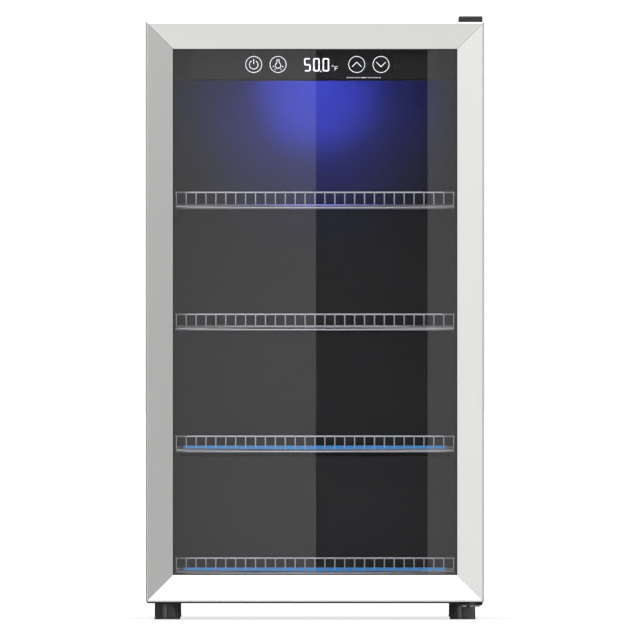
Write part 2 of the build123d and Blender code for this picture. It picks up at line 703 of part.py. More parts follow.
gland = turned([(3.6, -4), (8, -4), (8, -2), (6, -2), (6, 0), (8, 0), (8, 4), (5, 8), (3.6, 8)], 0, 0)
save("cord_gland", Pos(gland_x, back_y, gland_z) * Rot(-90, 0, 0) * gland)

# Control housing under the ceiling, behind the glass
panel_front_y = face_y + panel_setback
panel_half = inner_half - 3.0
panel_z = (ceiling_z - panel_height, ceiling_z)
fascia_back_y = panel_front_y + panel_wall
housing_y = (fascia_back_y, panel_front_y + panel_depth)
housing = block((-panel_half, panel_half), housing_y, panel_z)
housing -= block(
    (-panel_half + panel_wall, panel_half - panel_wall),
    (fascia_back_y - 1, housing_y[1] - panel_wall),
    (panel_z[0] + panel_wall, ceiling_z + 1),
)
lens_x = (-45.0, 45.0)
lens_z = (panel_z[0] + 5.0, panel_z[0] + 17.0)
lens_y = (housing_y[1] - panel_wall, housing_y[1] + 1.5)
housing -= block(lens_x, (lens_y[0] - 1, lens_y[1]), lens_z)
save("control_housing", housing.solid())
save("light_lens", block(lens_x, lens_y, lens_z))
lamp_board = block((-48.0, 48.0), (lens_y[0] - 1.6, lens_y[0]), (lens_z[0] - 2, lens_z[1] + 3))
display_x = (-20.0, 38.0)
display_z = (panel_z[0] + 11.0, panel_z[0] + 33.0)
fascia = block((-panel_half, panel_half), (panel_front_y, fascia_back_y), panel_z)
fascia -= block(display_x, (panel_front_y, fascia_back_y), display_z)
save("control_fascia", fascia.solid())
overlay_z = (panel_z[0] + overlay_margin, panel_z[1] - overlay_margin)
overlay_half = overlay_width / 2
overlay_y = (panel_front_y - overlay_sheet, panel_front_y)
save("touch_overlay", block((-overlay_half, overlay_half), overlay_y, overlay_z))
save("display_module", block(display_x, (panel_front_y, fascia_back_y + 4), display_z))
board_y = (fascia_back_y + 4, fascia_back_y + 5.6)
main_board = block((-150.0, 150.0), board_y, (panel_z[0] + 6, panel_z[1] - 5))
save("circuit_boards", main_board, lamp_board)

probe_y, probe_z = inner_back_y - 80.0, ceiling_z - 95.0
probe = rod((inner_half - 6, probe_y, probe_z), (inner_half - 6, probe_y + 30, probe_z), 3.5)
clip = block((inner_half - 6, inner_half), (probe_y + 8, probe_y + 20), (probe_z - 5, probe_z + 5))
save("temperature_probe", fused([probe, clip]))

# Wire shelves, numbered from the lowest
shelf_half = inner_half - shelf_side_gap
shelf_front_y = face_y + shelf_front_gap
main_y = shelf_front_y + main_wire / 2
upright_y = main_y + (main_wire + fence_wire) / 2 - weld
rim_y = upright_y + (fence_wire + rim_wire) / 2 - weld
deck_front_y = upright_y + fence_wire / 2
wire_reach = shelf_half - fence_wire / 2 - 0.85
upright_x = [-wire_reach + 2 * wire_reach * n / (wire_count - 1) for n in range(wire_count)]


def shelf_fence(level):
    """Upright wires welded between the thick front wire and the rim wire behind them."""
    bars = [rod((-shelf_half, main_y, level), (shelf_half, main_y, level), main_wire / 2)]
    rim_z = level + fence_height
    bars.append(rod((-shelf_half, rim_y, rim_z), (shelf_half, rim_y, rim_z), rim_wire / 2))
    low, high = level - cross_drop - 0.5, rim_z + rim_wire / 2
    bars += [rod((x, upright_y, low), (x, upright_y, high), fence_wire / 2) for x in upright_x]
    return fused(bars)


def shelf_deck(level, back):
    """Wires from front to back over a few cross wires."""
    deck_z, cross_z = level - deck_drop, level - cross_drop
    bars = [rod((x, deck_front_y, deck_z), (x, back, deck_z), deck_wire / 2) for x in upright_x]
    first = deck_front_y + cross_wire / 2 + 0.2
    last = back - 8.0
    for n in range(cross_count):
        y = first + (last - first) * n / (cross_count - 1)
        bars.append(rod((-shelf_half, y, cross_z), (shelf_half, y, cross_z), cross_wire / 2))
    stop_z = deck_z + (deck_wire + main_wire) / 2 - weld
    bars.append(rod((-shelf_half, last, stop_z), (shelf_half, last, stop_z), main_wire / 2))
    return fused(bars)


strip_y = rim_y + rim_wire / 2 + 0.4
for n, level in enumerate(shelf_levels):
    back = (hump_front_y if n == 0 else inner_back_y) - shelf_back_gap
    save(f"shelf_deck_{n + 1}", shelf_deck(level, back))
    save(f"shelf_fence_{n + 1}", shelf_fence(level))
    if n < 2:
        strip_z = level - deck_drop + deck_wire / 2
        strip_x = (-shelf_half + strip_inset, shelf_half - strip_inset)
        save(f"shelf_strip_{n + 1}", block(strip_x, (strip_y, strip_y + strip_sheet), (strip_z, strip_z + strip_height)))
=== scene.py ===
import json
import math

import bmesh
import bpy
import numpy as np
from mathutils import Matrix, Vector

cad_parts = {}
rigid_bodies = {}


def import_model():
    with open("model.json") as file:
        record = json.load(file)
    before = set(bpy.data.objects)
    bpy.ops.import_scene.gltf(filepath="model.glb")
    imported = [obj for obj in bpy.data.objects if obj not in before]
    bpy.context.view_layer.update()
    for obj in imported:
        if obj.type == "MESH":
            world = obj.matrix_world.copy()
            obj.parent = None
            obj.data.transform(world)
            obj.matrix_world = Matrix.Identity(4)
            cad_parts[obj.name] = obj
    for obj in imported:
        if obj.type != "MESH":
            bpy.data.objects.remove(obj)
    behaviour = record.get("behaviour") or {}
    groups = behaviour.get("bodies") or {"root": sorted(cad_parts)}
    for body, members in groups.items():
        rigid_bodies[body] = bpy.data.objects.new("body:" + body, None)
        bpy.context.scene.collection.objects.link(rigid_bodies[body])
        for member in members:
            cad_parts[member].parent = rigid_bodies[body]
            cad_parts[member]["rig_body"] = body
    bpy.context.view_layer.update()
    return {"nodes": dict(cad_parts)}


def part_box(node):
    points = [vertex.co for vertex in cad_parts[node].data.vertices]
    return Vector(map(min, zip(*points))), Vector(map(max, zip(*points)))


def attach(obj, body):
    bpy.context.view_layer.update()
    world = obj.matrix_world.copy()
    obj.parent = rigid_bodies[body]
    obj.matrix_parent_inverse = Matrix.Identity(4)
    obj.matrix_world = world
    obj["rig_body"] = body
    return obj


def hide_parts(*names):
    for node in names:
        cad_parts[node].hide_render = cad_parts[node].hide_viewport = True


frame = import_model()
nodes = frame["nodes"]
scene = bpy.context.scene

# ---- Camera ----
# A long lens, square on to the door and level with the middle of the cooler, so that nothing
# converges and all four sides of the door frame show the same width. Past about 42 m the
# views from other sides would have the cooler beyond their far clipping distance.
camera_distance = 36.0
picture_width = 0.8854
door_face_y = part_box("trim_stiles")[0].y
lens = bpy.data.cameras.new("camera")
lens.sensor_width = 36.0
lens.lens = lens.sensor_width * camera_distance / picture_width
lens.clip_start, lens.clip_end = 1.0, 400.0
camera = bpy.data.objects.new("camera", lens)
camera.location = (0.0049, door_face_y - camera_distance, 0.4191)
camera.rotation_euler = (math.pi / 2, 0, 0)
scene.collection.objects.link(camera)
scene.camera = camera
scene.view_settings.view_transform = "Standard"
scene.view_settings.look = "None"

# ---- Room ----
# White to the camera, a little dimmer as fill, and almost dark to mirrors, so that every
# reflection comes from the soft boxes and cards below.
fill_strength = 0.6
mirror_strength = 0.04
room = bpy.data.worlds.new("room")
scene.world = room
room.use_nodes = True
tree = room.node_tree
tree.nodes.clear()
ray = tree.nodes.new("ShaderNodeLightPath")
filled = tree.nodes.new("ShaderNodeMath")
filled.operation = "MINIMUM"
filled.inputs[1].default_value = 1.0
for_fill = tree.nodes.new("ShaderNodeMath")
for_fill.operation = "MULTIPLY_ADD"
for_fill.inputs[1].default_value = fill_strength - 1
for_fill.inputs[2].default_value = 1.0
mirrored = tree.nodes.new("ShaderNodeMath")
mirrored.operation = "GREATER_THAN"
mirrored.inputs[1].default_value = 0.5
for_gloss = tree.nodes.new("ShaderNodeMath")
for_gloss.operation = "MULTIPLY_ADD"
for_gloss.inputs[1].default_value = mirror_strength - 1
for_gloss.use_clamp = True
sky = tree.nodes.new("ShaderNodeBackground")
sky.inputs["Color"].default_value = (1, 1, 1, 1)
world_out = tree.nodes.new("ShaderNodeOutputWorld")
tree.links.new(ray.outputs["Diffuse Depth"], filled.inputs[0])
tree.links.new(filled.outputs[0], for_fill.inputs[0])
tree.links.new(ray.outputs["Glossy Depth"], mirrored.inputs[0])
tree.links.new(mirrored.outputs[0], for_gloss.inputs[0])
tree.links.new(for_fill.outputs[0], for_gloss.inputs[2])
tree.links.new(for_gloss.outputs[0], sky.inputs["Strength"])
tree.links.new(sky.outputs[0], world_out.inputs["Surface"])


# ---- Soft boxes ----
# Large rectangular lights all round: two in front, one high, one over the roof, one at each
# rear corner. Their power follows from their area and the brightness that they show.
def soft_box(name, place, aim, size, radiance, mirrored):
    """Rectangle of light of that size at place, turned to face aim."""
    light = bpy.data.lights.new(name, "AREA")
    light.shape = "RECTANGLE"
    light.size, light.size_y = size
    light.energy = math.pi * size[0] * size[1] * radiance
    box = bpy.data.objects.new(name, light)
    box.location = place
    way = np.array(aim, float) - np.array(place, float)
    tilt = math.atan2(math.hypot(way[0], way[1]), -way[2])
    box.rotation_euler = (tilt, 0, math.atan2(-way[0], way[1]))
    box.visible_camera = False
    box.visible_glossy = mirrored
    box.visible_transmission = False
    scene.collection.objects.link(box)


soft_box("front_left_box", (-2.2, -3.0, 1.2), (-0.2, -0.2, 0.42), (2.2, 2.4), 1.2, False)
soft_box("front_right_box", (2.2, -3.0, 1.2), (0.2, -0.2, 0.42), (2.2, 2.4), 0.7, False)
soft_box("high_box", (0, -2.6, 2.8), (0, 0, 0.42), (3.0, 1.6), 1.4, False)
soft_box("roof_box", (0, 0.8, 3.2), (0, 0, 0.42), (3.0, 2.6), 0.9, True)
soft_box("rear_left_box", (-2.4, 2.6, 1.5), (0, 0, 0.42), (2.0, 2.4), 1.2, True)
soft_box("rear_right_box", (2.6, 2.2, 1.3), (0, 0, 0.42), (2.0, 2.4), 0.9, True)


# ---- Reflection cards ----
# Four mitred cards far in front, one for each side of the door frame, round a dark gap that
# the glass mirrors; two strips inside the gap give the glass its pale bands.
def reflection_card(name, corners, radiance):
    """Flat glowing card that only mirrors and glass see."""
    mesh = bpy.data.meshes.new(name)
    mesh.from_pydata(corners, [], [(0, 1, 2, 3)])
    card = bpy.data.objects.new(name, mesh)
    glow = bpy.data.materials.new(name)
    glow.use_nodes = True
    t = glow.node_tree
    t.nodes.clear()
    light = t.nodes.new("ShaderNodeEmission")
    light.inputs["Strength"].default_value = radiance
    t.links.new(light.outputs[0], t.nodes.new("ShaderNodeOutputMaterial").inputs["Surface"])
    mesh.materials.append(glow)
    scene.collection.objects.link(card)
    card.visible_camera = False
    card.visible_diffuse = False
    card.visible_shadow = False


card_y = -6.0
middle_height = 0.42
band_radiance = 0.36
rings = ((0.62, card_y), (3.7, card_y), (6.0, card_y), (6.0, 3.0))
ring_corners = ((-1, -1), (1, -1), (1, 1), (-1, 1))
card_corners = [
    (x * reach, y, middle_height + z * reach) for reach, y in rings for x, z in ring_corners
]
for name, (a, b), radiances in (
    ("card_low", (0, 1), (1.02, 0.75, 0.75)),
    ("card_right", (1, 2), (0.51, 0.55, 0.6)),
    ("card_high", (2, 3), (2.0, 1.7, 1.8)),
    ("card_left", (3, 0), (1.03, 0.6, 0.25)),
):
    for n, radiance in enumerate(radiances):
        corners = [card_corners[4 * n + k] for k in (a, b, b + 4, a + 4)]
        reflection_card(f"{name}_{n}", corners, radiance)
widening = 1 + (door_face_y - card_y) / camera_distance
band_low, band_high = -0.2, 1.04
for name, left, right in (
    ("band_left", -0.30, 0.0007 * widening),
    ("band_right", 0.156 * widening, 0.32),
):
    corners = [(x, card_y, z) for x, z in (
        (left, band_low), (right, band_low), (right, band_high), (left, band_high)
    )]
    reflection_card(name, corners, band_radiance)

# ---- Floor ----
# A sheet of pale paper that carries on to the horizon; it glows a little so that it stays
# pale where the cooler shades it.
reach = 80.0
floor_mesh = bpy.data.meshes.new("floor")
floor_corners = [(-reach, -reach, 0), (reach, -reach, 0), (reach, reach, 0), (-reach, reach, 0)]
floor_mesh.from_pydata(floor_corners, [], [(0, 1, 2, 3)])
floor = bpy.data.objects.new("floor", floor_mesh)
floor.visible_glossy = False
floor.visible_transmission = False
scene.collection.objects.link(floor)
paper = bpy.data.materials.new("floor_paper")
paper.use_nodes = True
surface = paper.node_tree.nodes["Principled BSDF"]
surface.inputs["Base Color"].default_value = (0.4, 0.4, 0.4, 1)
surface.inputs["Roughness"].default_value = 0.9
surface.inputs["Specular IOR Level"].default_value = 0.0
surface.inputs["Emission Color"].default_value = (1, 1, 1, 1)
spot = paper.node_tree.nodes.new("ShaderNodeTexCoord")
far = paper.node_tree.nodes.new("ShaderNodeVectorMath")
far.operation = "LENGTH"
fade = paper.node_tree.nodes.new("ShaderNodeMapRange")
fade.interpolation_type = "SMOOTHSTEP"
for label, value in (("From Min", 0.6), ("From Max", 2.4), ("To Min", 0.74), ("To Max", 1.0)):
    fade.inputs[label].default_value = value
paper.node_tree.links.new(spot.outputs["Object"], far.inputs[0])
paper.node_tree.links.new(far.outputs["Value"], fade.inputs["Value"])
paper.node_tree.links.new(fade.outputs["Result"], surface.inputs["Emission Strength"])
floor_mesh.materials.append(paper)


# ---- Cabinet shell ----
# Folded and powder-coated steel: the wrap round the sides and roof, the base plate with its
# weld nuts, and the galvanised back panel that also lines the compressor compartment.
grain = bpy.data.node_groups.new("moulded_grain", "ShaderNodeTree")
for label, kind, value in (
    ("Color", "NodeSocketColor", (0.5, 0.5, 0.5, 1)),
    ("Color Spread", "NodeSocketFloat", 0.2),
    ("Roughness", "NodeSocketFloat", 0.5),
    ("Roughness Spread", "NodeSocketFloat", 0.1),
    ("Grain Scale", "NodeSocketFloat", 900.0),
    ("Grain Depth", "NodeSocketFloat", 0.1),
):
    grain.interface.new_socket(label, in_out="INPUT", socket_type=kind).default_value = value
finish_sockets = (
    ("Color", "NodeSocketColor"), ("Roughness", "NodeSocketFloat"), ("Normal", "NodeSocketVector"),
)
for label, kind in finish_sockets:
    grain.interface.new_socket(label, in_out="OUTPUT", socket_type=kind)
g_in = grain.nodes.new("NodeGroupInput")
g_out = grain.nodes.new("NodeGroupOutput")
place = grain.nodes.new("ShaderNodeTexCoord")
fine = grain.nodes.new("ShaderNodeTexNoise")
fine.inputs["Detail"].default_value = 2.0
slow = grain.nodes.new("ShaderNodeTexNoise")
slow.inputs["Scale"].default_value = 8.0
slow.inputs["Detail"].default_value = 5.0
grain.links.new(place.outputs["Object"], fine.inputs["Vector"])
grain.links.new(place.outputs["Object"], slow.inputs["Vector"])
grain.links.new(g_in.outputs["Grain Scale"], fine.inputs["Scale"])
bump = grain.nodes.new("ShaderNodeBump")
bump.inputs["Distance"].default_value = 0.0004
grain.links.new(g_in.outputs["Grain Depth"], bump.inputs["Strength"])
grain.links.new(fine.outputs["Fac"], bump.inputs["Height"])
grain.links.new(bump.outputs[0], g_out.inputs["Normal"])
speckle = grain.nodes.new("ShaderNodeMath")
speckle.operation = "ADD"
grain.links.new(fine.outputs["Fac"], speckle.inputs[0])
grain.links.new(slow.outputs["Fac"], speckle.inputs[1])
shift = grain.nodes.new("ShaderNodeMath")
shift.operation = "SUBTRACT"
shift.inputs[1].default_value = 1.0
grain.links.new(speckle.outputs[0], shift.inputs[0])
tone = grain.nodes.new("ShaderNodeMath")
tone.operation = "MULTIPLY_ADD"
tone.inputs[2].default_value = 1.0
grain.links.new(shift.outputs[0], tone.inputs[0])
grain.links.new(g_in.outputs["Color Spread"], tone.inputs[1])
paint = grain.nodes.new("ShaderNodeVectorMath")
paint.operation = "SCALE"
grain.links.new(g_in.outputs["Color"], paint.inputs[0])
grain.links.new(tone.outputs[0], paint.inputs["Scale"])
grain.links.new(paint.outputs[0], g_out.inputs["Color"])
patch = grain.nodes.new("ShaderNodeMath")
patch.operation = "SUBTRACT"
patch.inputs[1].default_value = 0.5
grain.links.new(slow.outputs["Fac"], patch.inputs[0])
dull = grain.nodes.new("ShaderNodeMath")
dull.operation = "MULTIPLY_ADD"
grain.links.new(patch.outputs[0], dull.inputs[0])
grain.links.new(g_in.outputs["Roughness Spread"], dull.inputs[1])
grain.links.new(g_in.outputs["Roughness"], dull.inputs[2])
grain.links.new(dull.outputs[0], g_out.inputs["Roughness"])


def grained(name, color, roughness, metallic=0.0, scale=900.0, depth=0.1, spread=0.2, **sockets):
    """Material whose colour, roughness and fine bumps come from the grain group."""
    material = bpy.data.materials.new(name)
    material.use_nodes = True
    t = material.node_tree
    shader = t.nodes["Principled BSDF"]
    shader.inputs["Metallic"].default_value = metallic
    for label, value in sockets.items():
        shader.inputs[label.replace("_", " ")].default_value = value
    effect = t.nodes.new("ShaderNodeGroup")
    effect.node_tree = grain
    effect.inputs["Color"].default_value = (*color, 1)
    effect.inputs["Color Spread"].default_value = spread
    effect.inputs["Roughness"].default_value = roughness
    effect.inputs["Roughness Spread"].default_value = 0.3 * roughness
    effect.inputs["Grain Scale"].default_value = scale
    effect.inputs["Grain Depth"].default_value = depth
    t.links.new(effect.outputs["Color"], shader.inputs["Base Color"])
    t.links.new(effect.outputs["Roughness"], shader.inputs["Roughness"])
    t.links.new(effect.outputs["Normal"], shader.inputs["Normal"])
    return material


def placed(name, mesh, material, node):
    """Object that rides on a CAD node's body, with the node hidden in its place."""
    mesh.materials.clear()
    mesh.materials.append(material)
    piece = bpy.data.objects.new(name, mesh)
    scene.collection.objects.link(piece)
    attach(piece, nodes[node]["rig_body"])
    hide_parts(node)
    return piece


def eased(node, material, width=0.0006, segments=2):
    """Copy of a CAD node with merged vertices and flat areas joined. Edges that turn by more
    than 35 degrees stay crisp; those more than three widths long are rounded."""
    mesh = nodes[node].data.copy()
    form = bmesh.new()
    form.from_mesh(mesh)
    bmesh.ops.remove_doubles(form, verts=form.verts, dist=1e-6)
    bmesh.ops.dissolve_limit(form, angle_limit=math.radians(0.5), verts=form.verts, edges=form.edges)
    share = form.edges.layers.float.new("bevel_weight_edge")
    for face in form.faces:
        face.smooth = True
    for edge in form.edges:
        crisp = edge.calc_face_angle(0.0) > math.radians(35)
        edge.smooth = not crisp
        edge[share] = float(crisp and edge.calc_length() > 3 * width)
    form.to_mesh(mesh)
    form.free()
    piece = placed(f"{node}_eased", mesh, material, node)
    if width:
        rounding = piece.modifiers.new("rounding", "BEVEL")
        rounding.width = width
        rounding.segments = segments
        rounding.limit_method = "WEIGHT"
        rounding.harden_normals = True
    return piece


powder_black = grained("powder_black", (0.013, 0.013, 0.014), 0.42, scale=1300, depth=0.3)
galvanised = grained(
    "galvanised_sheet", (0.17, 0.173, 0.18), 0.42, 0.7, scale=120, depth=0.05, spread=0.6,
)
eased("outer_wrap", powder_black, 0.0005)
eased("base_plate", powder_black, 0.0005)
eased("back_panel", galvanised, 0.0004)

# ---- Insulation ----
# Poured polyurethane foam between the wrap and the liner; all but its edge is hidden.
foam_cream = grained("foam_cream", (0.78, 0.68, 0.42), 0.9, scale=500, depth=0.8, spread=0.3)
eased("insulation", foam_cream, 0)

# ---- Liner ----
# Vacuum-formed black plastic tub with soft corners, shelf ribs pressed into both sides and a
# step over the compressor. Its fine grain sparkles where the lamp grazes the back wall.
liner_black = grained("liner_black", (0.0195, 0.019, 0.0213), 0.45, scale=520, depth=0.3, spread=1.2)
eased("inner_liner", liner_black, 0.0022, 3)

# ---- Evaporator and drain ----
# Aluminium roll-bonded plate with its tube in the foam, copper suction pipe and capillary,
# and the white drain tube down to the drip tray.
bare_alloy = grained("bare_alloy", (0.8, 0.8, 0.8), 0.35, 1.0, scale=120, depth=0.05)
copper = grained("copper_pipe", (0.72, 0.36, 0.21), 0.3, 1.0, scale=90, depth=0.06, spread=0.8)
white_plastic = grained("white_plastic", (0.75, 0.75, 0.72), 0.5, scale=1200, depth=0.08)
eased("evaporator", bare_alloy, 0)
eased("evaporator_pipes", copper, 0)
eased("drain_tube", white_plastic, 0.0003)

# ---- Control housing ----
# Moulded box under the ceiling with a glossy fascia and touch film, two circuit boards and
# the lamp's lens at the back, which washes the back wall with blue.
moulded_black = grained("moulded_black", (0.016, 0.016, 0.017), 0.45, scale=2200, depth=0.15)
fascia_black = grained(
    "fascia_black", (0.006, 0.006, 0.0065), 0.36, scale=900, depth=0.03, Specular_IOR_Level=0.2,
)
film_black = grained(
    "film_black", (0.022, 0.022, 0.023), 0.3, scale=300, depth=0.01, Specular_IOR_Level=0.25,
)
display_black = grained("display_black", (0.006, 0.006, 0.007), 0.08, scale=300, depth=0.01)
board_green = grained("board_green", (0.01, 0.09, 0.035), 0.35, scale=350, depth=0.15, spread=1.2)
lens_blue = grained(
    "lens_blue", (0.25, 0.3, 0.9), 0.5, scale=700, depth=0.2,
    Emission_Color=(0.1, 0.13, 1.0, 1), Emission_Strength=3.0,
)
eased("temperature_probe", moulded_black, 0.0005)
eased("control_housing", moulded_black, 0.0008)
eased("control_fascia", fascia_black, 0.0003)
eased("touch_overlay", film_black, 0.0002)
eased("display_module", display_black, 0.0002)
eased("circuit_boards", board_green, 0.0002)
eased("light_lens", lens_blue, 0.0006)

lens_low, lens_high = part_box("light_lens")
for name, power, cone in (("lamp_core", 56.0, 47), ("lamp_halo", 26.0, 86)):
    lamp = bpy.data.lights.new(name, "SPOT")
    lamp.color = (0.075, 0.105, 1.0)
    lamp.energy = power
    lamp.spot_size = math.radians(cone)
    lamp.spot_blend = 1.0
    lamp.shadow_soft_size = 0.006
    bulb = bpy.data.objects.new(name, lamp)
    bulb.location = (0.005, lens_high.y + 0.004, lens_low.z + 0.004)
    bulb.rotation_euler = (math.radians(86.5), 0, 0)
    bulb.visible_glossy = False
    scene.collection.objects.link(bulb)


# ---- Panel symbols ----
# Thin white light guides behind the film: four ringed keys, the temperature in seven bars a
# digit with its unit, and a plain row of dashes in place of the small print.
def stroke(points, width, closed=False):
    """Flat band of that width along a line in x and z; at a corner it follows the bisector."""
    p = np.array(points, float)
    if closed:
        before, after = np.roll(p, 1, axis=0), np.roll(p, -1, axis=0)
    else:
        before = np.vstack([2 * p[:1] - p[1:2], p[:-1]])
        after = np.vstack([p[1:], 2 * p[-1:] - p[-2:-1]])
    a = (p - before) / np.linalg.norm(p - before, axis=1)[:, None]
    b = (after - p) / np.linalg.norm(after - p, axis=1)[:, None]
    side = np.column_stack([-(a + b)[:, 1], (a + b)[:, 0]])
    side /= np.linalg.norm(side, axis=1)[:, None]
    stretch = 1 / np.maximum(np.abs(np.sum(side * np.column_stack([-a[:, 1], a[:, 0]]), axis=1)), 0.4)
    side *= (stretch * width / 2)[:, None]
    rim = np.stack([p + side, p - side], axis=1).reshape(-1, 2)
    n = len(p)
    steps = np.arange(n if closed else n - 1)
    after_step = (steps + 1) % n
    faces = np.column_stack([2 * steps, 2 * after_step, 2 * after_step + 1, 2 * steps + 1])
    return rim, faces


def arc(x, z, radius, start=0.0, sweep=360.0, steps=48):
    """Points on a circle; angles are in degrees, anticlockwise from +x."""
    turn = np.radians(start + sweep * np.arange(steps + (sweep < 360)) / steps)
    return np.column_stack([x + radius * np.cos(turn), z + radius * np.sin(turn)])


mm = 0.001
row = 772.7
marks = []
power_x, lamp_x, warmer_x, colder_x = -85.3, -51.4, 58.1, 91.9
for x in (power_x, lamp_x, warmer_x, colder_x):
    marks.append(stroke(arc(x, row, 11.2), 0.75, closed=True))
marks.append(stroke(arc(power_x, row - 0.4, 6.0, 118, 304), 0.8))
marks.append(stroke([(power_x, row + 0.6), (power_x, row + 7.6)], 0.9))
marks.append(stroke(arc(lamp_x, row - 1.4, 3.9, 112, 316), 0.8))
socket = [(lamp_x + x, row + z) for x, z in ((-1.5, 2.6), (-1.5, 6.6), (1.5, 6.6), (1.5, 2.6))]
marks.append(stroke(socket, 0.75))
for turn in (192, 232, 308, 348):
    ray_way = np.array([math.cos(math.radians(turn)), math.sin(math.radians(turn))])
    ray_root = np.array([lamp_x, row - 1.4])
    marks.append(stroke([ray_root + 5.9 * ray_way, ray_root + 7.3 * ray_way], 1.2))
for x, rise in ((warmer_x, 3.3), (colder_x, -3.3)):
    marks.append(stroke([(x - 6.5, row - rise), (x, row + rise), (x + 6.5, row - rise)], 0.85))
bars = {
    "a": ((0, 1), (1, 1)), "b": ((1, 1), (1, 0.5)), "c": ((1, 0.5), (1, 0)), "d": ((0, 0), (1, 0)),
    "e": ((0, 0.5), (0, 0)), "f": ((0, 1), (0, 0.5)), "g": ((0, 0.5), (1, 0.5)),
}
digit_height, digit_width, digit_low = 16.6, 7.2, 764.0
for left, shape in ((-14.2, "afgcd"), (-1.6, "abcdef"), (11.6, "abcdef")):
    for bar in shape:
        ends = np.array(bars[bar], float)
        way = (ends[1] - ends[0]) * (digit_width, digit_height)
        way /= np.linalg.norm(way)
        line = ends * (digit_width, digit_height) + (left, digit_low)
        line += np.array([way, -way]) * 0.25
        marks.append(stroke(line, 1.9))
marks.append(stroke([(7.4, digit_low - 0.9), (9.0, digit_low - 0.9)], 1.8))
marks.append(stroke(arc(24.6, 770.6, 0.9, steps=16), 0.45, closed=True))
marks.append(stroke([(27.8, 764.4), (27.8, 769.8), (31.8, 769.8)], 0.6))
marks.append(stroke([(27.8, 767.2), (31.2, 767.2)], 0.6))
for x in (44.5, 48.3, 52.1, 55.9, 59.7, 74.0, 77.8, 81.6, 85.4, 89.2):
    marks.append(stroke([(x, 754.4), (x + 2.2, 754.4)], 0.8))
marks.append(stroke([(64.2, 754.4), (71.6, 754.4)], 0.8))
film_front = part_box("touch_overlay")[0].y - 0.00006
points, faces, count = [], [], 0
for rim, quads in marks:
    points.append(np.column_stack([rim[:, 0] * mm, np.full(len(rim), film_front), rim[:, 1] * mm]))
    faces.append(quads + count)
    count += len(rim)
symbol_mesh = bpy.data.meshes.new("panel_symbols")
symbol_mesh.from_pydata(np.vstack(points).tolist(), [], np.vstack(faces).tolist())
form = bmesh.new()
form.from_mesh(symbol_mesh)
for face in form.faces:
    face.normal_update()
    if face.normal.y > 0:
        face.normal_flip()
form.to_mesh(symbol_mesh)
form.free()
symbol_white = grained(
    "symbol_white", (0.8, 0.8, 0.8), 0.4, scale=500, depth=0.0,
    Emission_Color=(0.96, 0.98, 1.0, 1), Emission_Strength=1.5,
)
symbol_mesh.materials.append(symbol_white)
symbols = bpy.data.objects.new("panel_symbols", symbol_mesh)
scene.collection.objects.link(symbols)
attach(symbols, "cabinet")


# ---- Shelves ----
# Chromed wire: each upright of the fence bends back under the thick front wire and runs to
# the rear as a deck wire, resting on cross wires; a slim rim wire ties the uprights.
def rounded(points, radii, steps=6):
    """Line of points whose inner corners become arcs. An arc's centre lies on the bisector, the
    radius over the sine of the half angle from the corner; its spokes turn evenly between the
    two points where it touches the line."""
    p = np.array(points, float)
    corner = p[1:-1]
    a = p[:-2] - corner
    b = p[2:] - corner
    a /= np.linalg.norm(a, axis=1)[:, None]
    b /= np.linalg.norm(b, axis=1)[:, None]
    radius = np.array(radii, float)[:, None]
    half = np.arccos(np.clip(np.sum(a * b, axis=1), -1.0, 1.0))[:, None] / 2
    bisector = (a + b) / np.linalg.norm(a + b, axis=1)[:, None]
    middle = corner + bisector * radius / np.sin(half)
    start = (corner + a * radius / np.tan(half) - middle)[:, None]
    end = (corner + b * radius / np.tan(half) - middle)[:, None]
    whole = (np.pi - 2 * half)[:, None]
    f = (np.arange(steps + 1) / steps)[None, :, None]
    spokes = (np.sin((1 - f) * whole) * start + np.sin(f * whole) * end) / np.sin(whole)
    arcs = (middle[:, None] + spokes).reshape(-1, p.shape[1])
    return np.vstack([p[:1], arcs, p[-1:]])


def wire(line, radius, sides=10):
    """Round wire along a line, with rounded ends: a circle carried square to the line."""
    p = np.array(line, float)
    first = (p[1] - p[0]) / np.linalg.norm(p[1] - p[0])
    last = (p[-1] - p[-2]) / np.linalg.norm(p[-1] - p[-2])
    head = [p[0] + first * radius * f for f in (0.0, 0.13, 0.5, 1.0)]
    tail = [p[-1] - last * radius * f for f in (1.0, 0.5, 0.13, 0.0)]
    p = np.vstack([head, p[1:-1], tail])
    swell = np.concatenate([[0.02, 0.5, 0.87, 1.0], np.ones(len(p) - 8), [1.0, 0.87, 0.5, 0.02]])
    along = np.gradient(p, axis=0)
    along /= np.linalg.norm(along, axis=1)[:, None]
    helper = np.array([1.0, 0, 0]) if abs(first[0]) < 0.5 else np.array([0, 0, 1.0])
    u = helper - (along @ helper)[:, None] * along
    u /= np.linalg.norm(u, axis=1)[:, None]
    v = np.cross(along, u)
    turn = 2 * np.pi * np.arange(sides) / sides
    rings = u[:, None] * np.cos(turn)[None, :, None] + v[:, None] * np.sin(turn)[None, :, None]
    surface_points = p[:, None] + rings * (swell * radius)[:, None, None]
    i, j = np.meshgrid(np.arange(len(p) - 1), np.arange(sides), indexing="ij")
    k = (j + 1) % sides
    quads = np.stack([i * sides + j, i * sides + k, (i + 1) * sides + k, (i + 1) * sides + j], axis=-1)
    return surface_points.reshape(-1, 3), quads.reshape(-1, 4)


def gathered(name, parts):
    """One smooth mesh out of (points, quads) parts."""
    points, faces, count = [], [], 0
    for p, f in parts:
        points.append(p)
        faces.append(f + count)
        count += len(p)
    mesh = bpy.data.meshes.new(name)
    mesh.from_pydata(np.vstack(points).tolist(), [], np.vstack(faces).tolist())
    mesh.shade_smooth()
    return mesh


